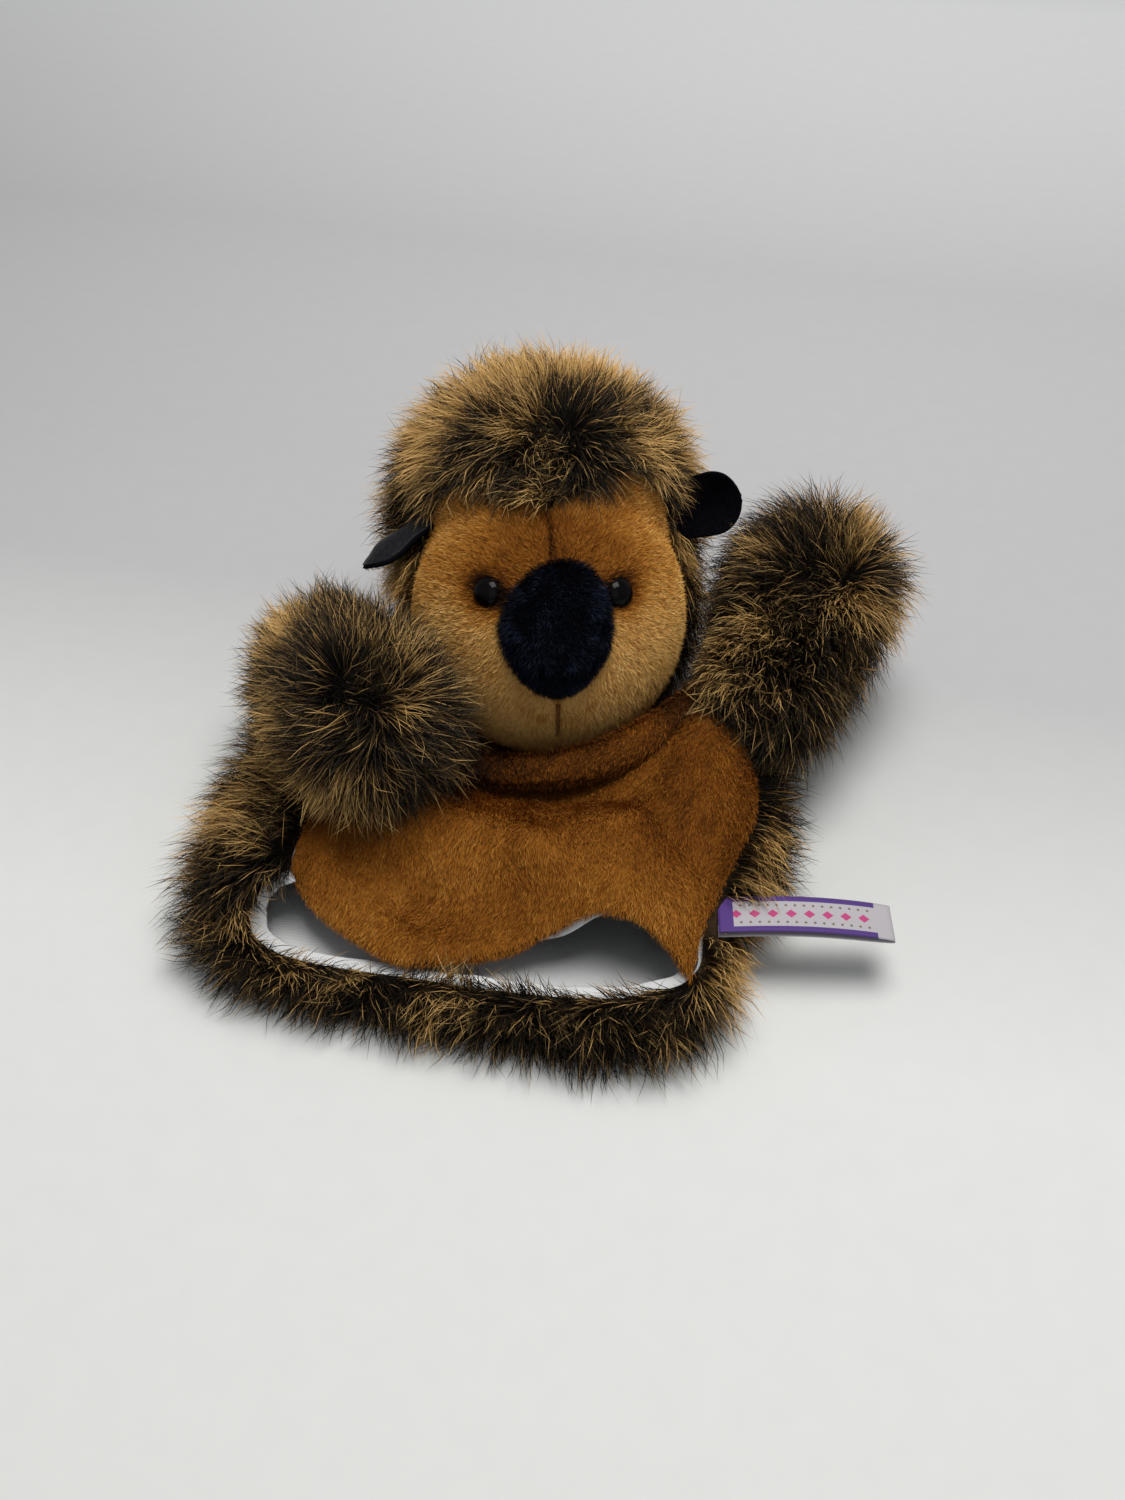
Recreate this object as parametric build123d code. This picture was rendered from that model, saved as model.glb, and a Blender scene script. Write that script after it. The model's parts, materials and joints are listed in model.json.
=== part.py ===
"""Plush glove puppet of a hedgehog, lying on its back with its head raised.

Units are millimetres. +Z is up, -Y is towards the open hem, +Y is towards the crown of the head.
The origin is on the flat of the back panel that the puppet rests on.
"""
from build123d import *
import math
import os

REACH = 600.0                       # a block this long is bigger than the whole puppet

# Head, in its own frame: X to the wearer's left cheek, Y to the back of the head, Z to the crown.
FACE_AT = (-2.0, 56.0, 57.0)        # centre of the ball of the face
HEAD_TURN = 18.0
HEAD_LIFT = 33.0
FACE_RADIUS = 50.5
PLUSH = 3.0                         # thickness of short pile fabric
LONG_PILE = 8.0                     # thickness of long pile fabric with its pile pressed down
HOOD_AT = (0.0, 28.0, 34.0)
HOOD_RADIUS = 58.0
NAPE_AT = (-16.0, 98.0, 41.0)       # the lower back of the head, in the row's frame
NAPE_RADIUS = 40.0
HAIRLINE_BACK = 11.3
HAIRLINE_SLOPE = 32.2
NECK_Z = 21.0                       # the head is open on a level flat at this height
NECK_FLAT_RADIUS = 37.0
NECK_TUBE_RADIUS = 11.5
NECK_TUBE_WALL = 1.0
NECK_TUBE_FOOT = 9.0
NECK_TUBE_TOP = 24.0
HEAD_POCKET_RADIUS = 14.0
HEAD_POCKET_DEPTH = 48.0
LINING = 1.0

NOSE_OUT = 43.0
NOSE_DROP = 3.0
NOSE_HALF_WIDTH = 20.0
NOSE_HALF_HEIGHT = 24.0
NOSE_SKIN = 2.5
EYE_SIDE = 24.5
EYE_OUT = 40.2
EYE_RISE = 10.8
EYE_RADIUS = 5.0
SHANK_RADIUS = 1.5
SHANK_LENGTH = 15.0
WASHER_RADIUS = 6.0
WASHER_THICK = 1.5
MOUTH_THREAD = 0.8
MOUTH_START = 36.0                  # degrees under the snout
MOUTH_SWEEP = 20.0

EAR_LENGTH = 29.0
EAR_RADIUS = 13.5
EAR_ROOT_HALF = 7.0
EAR_TAB = 3.0
EAR_PLY = 2.2
EAR_SLOT_GAP = 3.2
EAR_SLOT_SPARE = 12.0               # how much wider than the ear its slot is
EARS = {
    "left": ((-51.5, 7.0, 36.0), (-23.5, -19.2, -13.9), (0.66, -0.31, -0.68)),
    "right": ((52.0, 12.0, 35.0), (24.4, 13.8, 8.0), (0.08, -0.84, 0.54)),
}

# Torso: a flat tube. Each section is (y, half width, lowest z, highest z) of the skin's inner face.
SECTIONS = (
    (-100.0, 69.0, 7.0, 17.0),
    (-66.0, 78.0, 7.0, 26.0),
    (-30.0, 83.0, 7.0, 34.0),
    (0.0, 83.0, 7.0, 36.0),
    (30.0, 60.0, 7.0, 28.0),
)
TORSO_END = 52.0
END_HALF_WIDTH = 36.0
END_HIGH = 15.0
BELLY_HEM = -76.0
SEAM_RISE = 7.0                     # slope of the side seams, in degrees
SEAM_AT = (-72.0, 16.0)             # y and z of the seams near the hem
HEM_FACING = 9.0
HEM_FACING_THICK = 1.2
ROLL_RADIUS = 7.0
ROLL_PATH = 67.0                    # the chest roll bends round the face at this distance
ROLL_Z = 41.0
ROLL_START = 215.0
ROLL_SWEEP = 110.0
CHIN_GAP = 8.5

# Arms: from a ball at the shoulder to a ball at the paw.
ARM_RADIUS = 28.0
ARM_FUR = 6.0
POCKET_RADIUS = 12.0
POCKET_BALL = 16.0
ARMHOLE_RADIUS = 13.0
SHOULDER_GAP = 3.0
RING_RADIUS = 11.5
RING_THREAD = 1.3
ARMS = {
    "left": ((-78.0, 26.0, 35.0), (-53.0, -21.0, 68.0), (0.75, -0.35, -0.56)),
    "right": ((78.0, 44.0, 40.0), (93.0, 106.0, 53.0), (-0.66, -0.68, -0.32)),
}

LABEL_AT = (90.0, -46.0, 22.0)
LABEL_LENGTH = 50.0
LABEL_WIDTH = 15.0
LABEL_THICK = 2.6
LABEL_PLY = 0.7
LABEL_TURN = 12.0

HEAD = Pos(*FACE_AT) * Rot(Z=HEAD_TURN) * Rot(X=-HEAD_LIFT)


def save(name, shape):
    """Writes one sub-part to its own file."""
    shape.label = name
    export_step(shape, os.path.join("parts", name + ".step"))


def along(origin, direction):
    """A place at origin whose Z points along direction."""
    return Plane(origin=origin, z_dir=direction).location


def front_of(place):
    """A block that fills the -Y side of a place."""
    return place * Pos(0, -REACH / 2, 0) * Box(REACH, REACH, REACH)


def above(z):
    """A block that fills everything above a height."""
    return Pos(0, 0, z + REACH / 2) * Box(REACH, REACH, REACH)


def spheroid(half_width, half_height):
    """A solid of revolution about Z, with an elliptical outline."""
    outline = Ellipse(half_width, half_height)
    half = outline & Pos(half_width, 0) * Rectangle(2 * half_width, 4 * half_height)
    return revolve(Plane.XZ * half, Axis.Z)


def bullet(radius, length):
    """A rod with round ends, from a ball at the origin to a ball at +Z length."""
    side = Line((radius, 0), (radius, length))
    tip = RadiusArc((radius, length), (0, length + radius), -radius)
    spine = Line((0, length + radius), (0, -radius))
    base = RadiusArc((0, -radius), (radius, 0), -radius)
    return revolve(Plane.XZ * make_face([side, tip, spine, base]), Axis.Z)


# Head

def head_block():
    """The head's outer shape, before it is cut at the neck and the floor."""
    ball = HEAD * Sphere(FACE_RADIUS)
    crown = HEAD * Pos(*HOOD_AT) * Sphere(HOOD_RADIUS)
    nape = Pos(*NAPE_AT) * Sphere(NAPE_RADIUS)
    return ball + crown + nape


def head_core():
    """The space inside the head's fabric."""
    ball = HEAD * Sphere(FACE_RADIUS - PLUSH)
    crown = HEAD * Pos(*HOOD_AT) * Sphere(HOOD_RADIUS - LONG_PILE)
    return ball + crown


def neck_place(z):
    """A place on the neck's upright axis."""
    return Pos(FACE_AT[0], FACE_AT[1], z)


def neck_cut():
    """Everything under the flat that the head is open on."""
    return neck_place(NECK_Z - REACH / 2) * Cylinder(NECK_FLAT_RADIUS, REACH)


def hairline():
    """The plane that parts the face from the hood."""
    return HEAD * Pos(0, -HAIRLINE_BACK, 0) * Rot(X=HAIRLINE_SLOPE)


def eye_place(side):
    """The centre of an eye, with Z pointing out of the face."""
    out = Vector(side * EYE_SIDE, -EYE_OUT, EYE_RISE)
    return HEAD * along(out, out)


def eye_shank(radius):
    return Pos(0, 0, -SHANK_LENGTH / 2) * Cylinder(radius, SHANK_LENGTH)


def washer_place(side):
    """The middle of an eye's lock washer, against the inside of the face."""
    out = Vector(side * EYE_SIDE, -EYE_OUT, EYE_RISE)
    depth = out.length - (FACE_RADIUS - PLUSH) + WASHER_THICK
    return eye_place(side) * Pos(0, 0, -depth)


def make_eye(side):
    """A domed eye with a flat back and a shank."""
    behind = Pos(0, 0, -EYE_RADIUS) * Box(4 * EYE_RADIUS, 4 * EYE_RADIUS, 2 * EYE_RADIUS)
    dome = Sphere(EYE_RADIUS) - behind
    return eye_place(side) * (dome + eye_shank(SHANK_RADIUS))


def make_washer(side):
    disc = Cylinder(WASHER_RADIUS, WASHER_THICK)
    return washer_place(side) * (disc - Cylinder(SHANK_RADIUS, 2 * WASHER_THICK))


def eye_room(side):
    """The space that an eye, its shank and its washer take."""
    shape = make_eye(side)
    return shape + washer_place(side) * Cylinder(WASHER_RADIUS, WASHER_THICK)


def ear_place(name):
    root, reach, normal = EARS[name]
    origin = (HEAD * Pos(*root)).position
    length = Vector(*reach).normalized()
    width = length.cross(Vector(*normal)).normalized()
    return Plane(origin=origin, x_dir=width, z_dir=width.cross(length)).location


def ear_outline():
    """Rounded ear with a narrow root; its length runs along +Y."""
    lobe = Pos(0, EAR_LENGTH - EAR_RADIUS) * Circle(EAR_RADIUS)
    root = Polygon(
        (-EAR_ROOT_HALF, -EAR_TAB), (EAR_ROOT_HALF, -EAR_TAB),
        (EAR_RADIUS - 1, EAR_LENGTH / 2), (1 - EAR_RADIUS, EAR_LENGTH / 2), align=None,
    )
    return lobe + root


def make_ear(name, face):
    """One ply of an ear: face is 1 for its front and -1 for its back."""
    ply = extrude(ear_outline(), EAR_PLY)
    return ear_place(name) * (ply if face > 0 else Pos(0, 0, -EAR_PLY) * ply)


def ear_slot(name):
    """The slot in the hood that an ear's root moves in."""
    wide = 2 * (EAR_ROOT_HALF + EAR_SLOT_GAP)
    deep = 2 * (EAR_TAB + 1)
    thick = 2 * (EAR_PLY + EAR_SLOT_GAP)
    outward = 4 * EAR_RADIUS
    return ear_place(name) * Pos(0, (outward - deep) / 2, 0) * Box(wide + EAR_SLOT_SPARE, deep + outward, thick)


def nose_place():
    return HEAD * Pos(0, -NOSE_OUT, -NOSE_DROP)


def make_nose_cover(face_ball):
    outer = nose_place() * spheroid(NOSE_HALF_WIDTH, NOSE_HALF_HEIGHT)
    inner = nose_place() * spheroid(NOSE_HALF_WIDTH - NOSE_SKIN, NOSE_HALF_HEIGHT - NOSE_SKIN)
    return outer - inner - face_ball


def make_nose_stuffing(face_ball):
    return nose_place() * spheroid(NOSE_HALF_WIDTH - NOSE_SKIN, NOSE_HALF_HEIGHT - NOSE_SKIN) - face_ball


def make_mouth_stitch():
    """A stitched line that runs down the chin, along the face's ball."""
    ring = FACE_RADIUS + MOUTH_THREAD
    start = Plane(origin=(0, -ring, 0), x_dir=(0, 1, 0), z_dir=(0, 0, -1))
    bead = start * Circle(MOUTH_THREAD)
    arc = revolve(bead, Axis.X, MOUTH_SWEEP)
    return HEAD * Rot(X=MOUTH_START) * arc


def upright(radius, low, high):
    """A cylinder on the neck's axis between two heights."""
    return neck_place((low + high) / 2) * Cylinder(radius, high - low)


def head_pocket_block():
    return upright(HEAD_POCKET_RADIUS, NECK_Z, NECK_Z + HEAD_POCKET_DEPTH)


def make_head_pocket():
    """A finger pocket, open at the neck and closed towards the crown."""
    inner = upright(HEAD_POCKET_RADIUS - LINING, NECK_Z - 1, NECK_Z + HEAD_POCKET_DEPTH - LINING)
    return head_pocket_block() - inner


def make_head():
    """The pieces of the head, by name."""
    face_ball = HEAD * Sphere(FACE_RADIUS)
    core = head_core()
    eyes = eye_room(-1) + eye_room(1)
    front = front_of(hairline())
    face = (face_ball - core - neck_cut() - eyes) & front
    hood = (head_block() - core - neck_cut() - eyes - front) & above(0.5)
    stuffing = core - neck_cut() - eyes - head_pocket_block()
    for name in EARS:
        hood = hood - ear_slot(name)
        stuffing = stuffing - ear_slot(name)
    right_half = HEAD * Pos(REACH / 2, 0, 0) * Box(REACH, REACH, REACH)
    pieces = {
        "hood": hood,
        "face_right": face & right_half,
        "face_left": face - right_half,
        "head_stuffing": stuffing,
        "head_pocket": make_head_pocket(),
        "nose_cover": make_nose_cover(face_ball),
        "nose_stuffing": make_nose_stuffing(face_ball),
        "mouth_stitch": make_mouth_stitch(),
    }
    for side, name in ((-1, "left"), (1, "right")):
        pieces["eye_" + name] = make_eye(side)
        pieces["eye_washer_" + name] = make_washer(side)
        pieces["ear_front_" + name] = make_ear(name, 1)
        pieces["ear_back_" + name] = make_ear(name, -1)
    return pieces


# Torso

def section(y, half_width, low, high, grow):
    """A flat oval across the body, grown outwards by grow."""
    place = Plane(origin=(0, y, (low + high) / 2), x_dir=(1, 0, 0), z_dir=(0, -1, 0))
    return place * SlotOverall(2 * (half_width + grow), high - low + 2 * grow)


def torso_tube(grow, start):
    """The body as one closed solid from a station near the hem, grown outwards by grow."""
    faces = [section(start, *SECTIONS[0][1:], grow)]
    for y, half_width, low, high in SECTIONS[1:]:
        faces.append(section(y, half_width, low, high, grow))
    faces.append(section(TORSO_END + grow, END_HALF_WIDTH, SECTIONS[-1][2], END_HIGH, grow))
    return loft(faces, ruled=True)


def largest(shape):
    """The biggest solid of a shape, without the scraps that a cut leaves."""
    return max(shape.solids(), key=lambda solid: solid.volume)


def seam_block():
    """Everything above the slanted plane that the side seams lie in."""
    tilt = Pos(0, SEAM_AT[0], SEAM_AT[1]) * Rot(X=SEAM_RISE)
    return tilt * Pos(0, 0, REACH / 2) * Box(REACH, REACH, REACH)


def head_room():
    """The space the head needs over the torso as it turns and nods."""
    ball = HEAD * Sphere(FACE_RADIUS + CHIN_GAP)
    low = SECTIONS[-1][2] + 1.5
    return ball & above(low)


def shoulder_room(name):
    """The socket that an arm turns in."""
    return arm_block(name, ARM_RADIUS + SHOULDER_GAP)


def make_chest_roll():
    """A soft roll under the chin, bent round the ball of the face."""
    place = Pos(FACE_AT[0], FACE_AT[1], ROLL_Z) * Rot(Z=ROLL_START)
    bead = Plane(origin=(ROLL_PATH, 0, 0), x_dir=(1, 0, 0), z_dir=(0, 1, 0)) * Circle(ROLL_RADIUS)
    return place * revolve(bead, Axis.Z, ROLL_SWEEP)


def make_torso():
    """The pieces of the torso, by name."""
    skin = torso_tube(0, SECTIONS[0][0] - 1)
    hollow = torso_tube(-LINING, SECTIONS[0][0] - 2)
    top = seam_block()
    rooms = head_room() + shoulder_room("left") + shoulder_room("right")
    behind_hem = Pos(0, BELLY_HEM + REACH / 2, 0) * Box(REACH, REACH, REACH)
    lining_start = Pos(0, SECTIONS[0][0] + 2 + REACH / 2, 0) * Box(REACH, REACH, REACH)
    fur = torso_tube(LONG_PILE, SECTIONS[0][0]) - skin - top
    fur = (fur & above(0)) - rooms
    plush = (torso_tube(PLUSH, SECTIONS[0][0]) - skin) & top & behind_hem
    roll = make_chest_roll() - shoulder_room("left") - shoulder_room("right")
    plush = plush - rooms - roll
    lining = (skin - hollow) & lining_start
    lining = lining - rooms - roll
    facing = hollow - torso_tube(-LINING - HEM_FACING_THICK, SECTIONS[0][0] - 3)
    facing = facing & lining_start
    facing = facing & Pos(0, SECTIONS[0][0] + 2 + HEM_FACING / 2, 0) * Box(REACH, HEM_FACING, REACH)
    return {
        "back_panel": largest(fur),
        "belly_panel": largest(plush),
        "lining_back": largest(lining - top),
        "lining_front": largest((lining & top) & (Pos(0, 2, 0) * behind_hem)),
        "hem_facing": facing - top,
        "chest_roll": roll,
    }


def make_neck_tube():
    """The lined tube that a finger passes through from the torso to the head."""
    outer = upright(NECK_TUBE_RADIUS, NECK_TUBE_FOOT, NECK_TUBE_TOP)
    return outer - upright(NECK_TUBE_RADIUS - NECK_TUBE_WALL, 0, 2 * NECK_TUBE_TOP)


# Arms

def arm_block(name, radius):
    """An arm's outer shape at a radius."""
    base, tip, _ = ARMS[name]
    reach = Vector(*tip) - Vector(*base)
    return along(base, reach) * bullet(radius, reach.length)


def pocket_block(name, wall):
    """A finger pocket inside a wall: up the arm, round a ball at the shoulder and out to the torso."""
    base, tip, mouth = ARMS[name]
    reach = Vector(*tip) - Vector(*base)
    length = reach.length - wall
    tube = along(base, reach) * Pos(0, 0, length / 2) * Cylinder(POCKET_RADIUS - wall, length)
    ball = along(base, mouth) * Sphere(POCKET_BALL - wall)
    neck = along(base, mouth) * Pos(0, 0, ARM_RADIUS) * Cylinder(ARMHOLE_RADIUS - wall, 2 * ARM_RADIUS)
    return tube + ball + neck


def make_arm(name):
    """The pieces of one arm, by name."""
    base, _, mouth = ARMS[name]
    outer = arm_block(name, ARM_RADIUS)
    inner = arm_block(name, ARM_RADIUS - ARM_FUR)
    pocket = pocket_block(name, 0)
    return {
        "arm_sleeve_" + name: outer - inner - pocket,
        "arm_stuffing_" + name: inner - pocket,
        "arm_pocket_" + name: (pocket & outer) - pocket_block(name, LINING),
        "shoulder_ring_" + name: along(base, mouth) * Torus(RING_RADIUS, RING_THREAD),
    }


# Label

def make_label():
    """A woven ribbon folded into a flat loop, sewn into the right side seam."""
    outer = Box(LABEL_LENGTH, LABEL_WIDTH, LABEL_THICK)
    outer = fillet(outer.edges().filter_by(Axis.Y).group_by(Axis.X)[-1], LABEL_THICK / 2 - 0.05)
    gap = LABEL_THICK - 2 * LABEL_PLY
    inner = Pos(-2 * LABEL_PLY, 0, 0) * Box(LABEL_LENGTH, 2 * LABEL_WIDTH, gap)
    loop = Pos(LABEL_LENGTH / 2, 0, 0) * (outer - inner)
    return Pos(*LABEL_AT) * Rot(Z=LABEL_TURN) * loop


def main():
    os.makedirs("parts", exist_ok=True)
    pieces = make_torso()
    pieces["neck_tube"] = make_neck_tube()
    pieces.update(make_head())
    for name in ARMS:
        pieces.update(make_arm(name))
    pieces["label_loop"] = make_label()
    for name, shape in pieces.items():
        save(name, shape)


main()
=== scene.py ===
"""The looks of a plush hedgehog glove puppet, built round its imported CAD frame.

Shapes are worked out in millimetres in the frame's own axes and turned into metres as each mesh is made.
+Z is up, -Y is towards the open hem and +Y towards the crown of the head.
"""
import json
import math
from collections import namedtuple

import bmesh
import bpy
import numpy as np
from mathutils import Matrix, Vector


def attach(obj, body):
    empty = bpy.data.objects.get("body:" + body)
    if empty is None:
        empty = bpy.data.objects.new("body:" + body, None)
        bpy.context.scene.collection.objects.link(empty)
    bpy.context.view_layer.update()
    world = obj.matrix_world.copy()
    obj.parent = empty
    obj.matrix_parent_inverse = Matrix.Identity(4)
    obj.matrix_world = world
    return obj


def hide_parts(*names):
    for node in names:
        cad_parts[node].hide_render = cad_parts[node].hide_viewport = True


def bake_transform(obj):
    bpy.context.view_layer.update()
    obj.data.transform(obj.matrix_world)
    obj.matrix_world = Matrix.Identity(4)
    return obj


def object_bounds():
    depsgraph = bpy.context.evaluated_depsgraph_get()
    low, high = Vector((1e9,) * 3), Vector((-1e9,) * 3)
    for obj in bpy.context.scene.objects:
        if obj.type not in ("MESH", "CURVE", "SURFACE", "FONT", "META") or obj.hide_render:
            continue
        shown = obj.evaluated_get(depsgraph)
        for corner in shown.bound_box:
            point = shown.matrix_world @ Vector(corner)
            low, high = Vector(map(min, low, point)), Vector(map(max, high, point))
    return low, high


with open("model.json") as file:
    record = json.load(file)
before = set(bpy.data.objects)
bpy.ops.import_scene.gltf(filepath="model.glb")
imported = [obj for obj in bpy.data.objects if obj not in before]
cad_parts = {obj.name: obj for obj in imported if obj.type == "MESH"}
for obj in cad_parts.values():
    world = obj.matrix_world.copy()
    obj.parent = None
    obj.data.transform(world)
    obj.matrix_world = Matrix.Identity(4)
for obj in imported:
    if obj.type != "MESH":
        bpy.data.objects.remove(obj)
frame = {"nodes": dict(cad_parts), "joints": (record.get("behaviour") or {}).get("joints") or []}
CAD_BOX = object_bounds()
MM = 0.001

JOINTS = {joint["name"]: joint for joint in frame["joints"]}


def joint_at(name):
    return np.array(JOINTS[name]["pos_m"]) / MM


def joint_axis(name):
    axis = np.array(JOINTS[name]["axis"], float)
    return axis / np.linalg.norm(axis)


def unit(vectors):
    """Vectors made one long."""
    vectors = np.asarray(vectors, float)
    return vectors / np.maximum(np.linalg.norm(vectors, axis=-1, keepdims=True), 1e-9)


# The head's own axes: right, back and up, and the centre of the ball of the face.
NECK = joint_at("neck_turn")
FACE = NECK + (0, 0, 36)
HEAD_LIFT = math.radians(33)
RIGHT = joint_axis("head_nod")
LEVEL_BACK = np.cross((0, 0, 1), RIGHT)
BACK = LEVEL_BACK * math.cos(HEAD_LIFT) - np.array((0, 0, 1)) * math.sin(HEAD_LIFT)
UP = LEVEL_BACK * math.sin(HEAD_LIFT) + np.array((0, 0, 1)) * math.cos(HEAD_LIFT)
HEAD_AXES = np.array((RIGHT, BACK, UP))

FACE_RADIUS = 50.0
CHIN_STRETCH = 1.05
HOOD = FACE + (1.5, 28, 31) @ HEAD_AXES
HOOD_RADIUS = 53.0
NAPE = np.array((-16.0, 98.0, 41.0))
NAPE_RADIUS = 35.0
HEAD_MIDDLE = np.array((-10.0, 80.0, 62.0))
NECK_FLAT = NECK[2] + 0.5
NECK_HOLE = 35.0
HAIRLINE_SIDE = math.radians(87)    # angles between the snout and the line where the long pile starts
HAIRLINE_PEAK = math.radians(50)
CROWN_WHORL = HOOD + HOOD_RADIUS * unit((0.21, -0.25, 0.947))

ARM_RADIUS = 24.5
ARM_SAG = {"left": (6.0, 3.0, -10.0), "right": (-1.0, -3.0, -3.0)}     # how far each soft paw hangs
ARM_LENGTH = {"left": 62.7, "right": 65.1}
ARM_RISE = {"left": math.radians(31.8), "right": math.radians(11.5)}
FLOOR_GAP = 0.3
# No hair goes outside this box: the CAD box with 3% of each side and a little under 10 mm to spare.
SPARE = 0.03 * (CAD_BOX[1] - CAD_BOX[0]) / MM + Vector((9.5, 9.5, 9.5))
REACH = (np.array(CAD_BOX[0] / MM - SPARE), np.array(CAD_BOX[1] / MM + SPARE))

LABEL_WIDTH = 15.0
LABEL_LENGTH = 50.0
LABEL_INSET = 8.0                   # how far its sewn end reaches in from its fold line


def in_head(points):
    """Points of the frame in the head's own axes, from the centre of the face."""
    return (points - FACE) @ HEAD_AXES.T


def head_point(right, back, up):
    """A point of the frame from the head's own axes."""
    return FACE + np.array((right, back, up)) @ HEAD_AXES


# Noise and shapes

def lattice(cell, seed):
    """A number from -1 to 1 for each whole-number cell."""
    mixed = cell[..., 0] * 374761393 + cell[..., 1] * 668265263 + cell[..., 2] * 1440662683 + seed * 97123
    mixed = (mixed ^ (mixed >> 13)) * 1274126177
    mixed = mixed ^ (mixed >> 16)
    return (mixed & 0xFFFFF) / 0x7FFFF - 1


def noise(points, size, seed):
    """Smooth noise from -1 to 1, with lumps about size across."""
    scaled = points / size
    cell = np.floor(scaled).astype(np.int64)
    part = scaled - cell
    part = part * part * (3 - 2 * part)
    total = 0
    for corner in np.ndindex(2, 2, 2):
        weight = np.prod(np.where(corner, part, 1 - part), axis=-1)
        total = total + weight * lattice(cell + np.array(corner), seed)
    return total


def noise_way(points, size, seed):
    """A vector of noise for each point."""
    return np.stack([noise(points, size, seed + axis) for axis in range(3)], -1)


def gap_to(points, place):
    return np.linalg.norm(points - place, axis=1)


def bump(value, middle, width):
    """One at middle, falling off smoothly over width."""
    return np.exp(-((value - middle) / width) ** 2)


def smooth_step(value, low, high):
    share = np.clip((value - low) / (high - low), 0, 1)
    return share * share * (3 - 2 * share)


def blend_min(first, second, width):
    """The smaller of two distances, rounded where they meet."""
    share = np.clip(0.5 + 0.5 * (second - first) / width, 0, 1)
    return second * (1 - share) + first * share - width * share * (1 - share)


def through(net, count):
    """A smooth run of count steps along the first axis, through every row of net."""
    net = np.asarray(net, float)
    ends = np.concatenate([2 * net[:1] - net[1:2], net, 2 * net[-1:] - net[-2:-1]])
    place = np.linspace(0, len(net) - 1, count)
    i = np.minimum(place.astype(int), len(net) - 2)
    f = (place - i).reshape(-1, *[1] * (net.ndim - 1))
    a, b, c, d = ends[i], ends[i + 1], ends[i + 2], ends[i + 3]
    return 0.5 * (2 * b + (c - a) * f + (2 * a - 5 * b + 4 * c - d) * f**2 + (3 * b - a - 3 * c + d) * f**3)


def patch(net, rows, columns):
    """A smooth grid of points through a net of control points."""
    grid = through(net, rows)
    return through(grid.transpose(1, 0, 2), columns).transpose(1, 0, 2)


def grid_faces(rows, columns, closed=False):
    """Quads of a grid of points, whose columns may close into a ring."""
    last = columns if closed else columns - 1
    row, column = np.meshgrid(np.arange(rows - 1), np.arange(last), indexing="ij")
    after = (column + 1) % columns
    here, below = row * columns, (row + 1) * columns
    return np.stack((here + column, here + after, below + after, below + column), -1).reshape(-1, 4)


STAR_REACH = 160.0
STAR_HALVINGS = 26


def star(middle, distance, detail):
    """A closed surface round middle, where distance is zero, as points and triangles."""
    bm = bmesh.new()
    bmesh.ops.create_icosphere(bm, subdivisions=detail, radius=1)
    ways = unit([vert.co[:] for vert in bm.verts])
    faces = np.array([[vert.index for vert in face.verts] for face in bm.faces])
    bm.free()
    low, high = np.zeros(len(ways)), np.full(len(ways), STAR_REACH)
    for _ in range(STAR_HALVINGS):
        half = (low + high) / 2
        inside = distance(middle + ways * half[:, None]) < 0
        low, high = np.where(inside, half, low), np.where(inside, high, half)
    return middle + ways * low[:, None], faces


def keep_faces(points, faces, wanted):
    """The faces that are wanted, with only the points that they use."""
    faces = faces[wanted]
    used, renumbered = np.unique(faces, return_inverse=True)
    return points[used], renumbered.reshape(faces.shape)


def triangles(faces):
    return faces if faces.shape[1] == 3 else np.concatenate([faces[:, (0, 1, 2)], faces[:, (0, 2, 3)]])


def normals_of(points, faces):
    tris = triangles(faces)
    a, b, c = points[tris[:, 0]], points[tris[:, 1]], points[tris[:, 2]]
    across = np.cross(b - a, c - a)
    total = np.zeros_like(points)
    for corner in range(3):
        np.add.at(total, tris[:, corner], across)
    return unit(total)


def face_towards(points, faces, way, at):
    """The faces, all turned over if the surface doesn't look that way at the point with number at."""
    return faces if normals_of(points, faces)[at] @ np.array(way) > 0 else faces[:, ::-1]


# Meshes

def add_object(name, data):
    obj = bpy.data.objects.new(name, data)
    bpy.context.scene.collection.objects.link(obj)
    return obj


def new_object(name, points, loops, starts, smooth=True):
    mesh = bpy.data.meshes.new(name)
    mesh.vertices.add(len(points))
    mesh.vertices.foreach_set("co", (points * MM).astype(np.float32).ravel())
    mesh.loops.add(len(loops))
    mesh.loops.foreach_set("vertex_index", loops.astype(np.int32))
    mesh.polygons.add(len(starts))
    mesh.polygons.foreach_set("loop_start", starts.astype(np.int32))
    mesh.update(calc_edges=True)
    mesh.polygons.foreach_set("use_smooth", np.full(len(starts), smooth))
    return add_object(name, mesh)


def new_piece(name, points, faces, body, slot, shade=None):
    """A mesh piece that rides on a body. shade is a number for each point that its material may read."""
    loops = faces.ravel()
    obj = new_object(name, points, loops, np.arange(0, len(loops), faces.shape[1]))
    obj.data.materials.append(MATERIALS[BACKING.get(slot, slot)])
    if shade is not None:
        attribute = obj.data.attributes.new("shade", "FLOAT", "POINT")
        attribute.data.foreach_set("value", shade.astype(np.float32))
    if body:
        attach(obj, body)
    return obj


def lay_out(obj, rows, columns, width, length):
    """Gives a grid piece a UV map, laid out flat over width by length."""
    layer = obj.data.uv_layers.new(name="cloth")
    index = np.zeros(len(obj.data.loops), np.int32)
    obj.data.loops.foreach_get("vertex_index", index)
    u = (index % columns) / (columns - 1) * width
    v = (index // columns) / (rows - 1) * length
    layer.data.foreach_set("uv", np.stack([u, v], -1).astype(np.float32).ravel())


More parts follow.
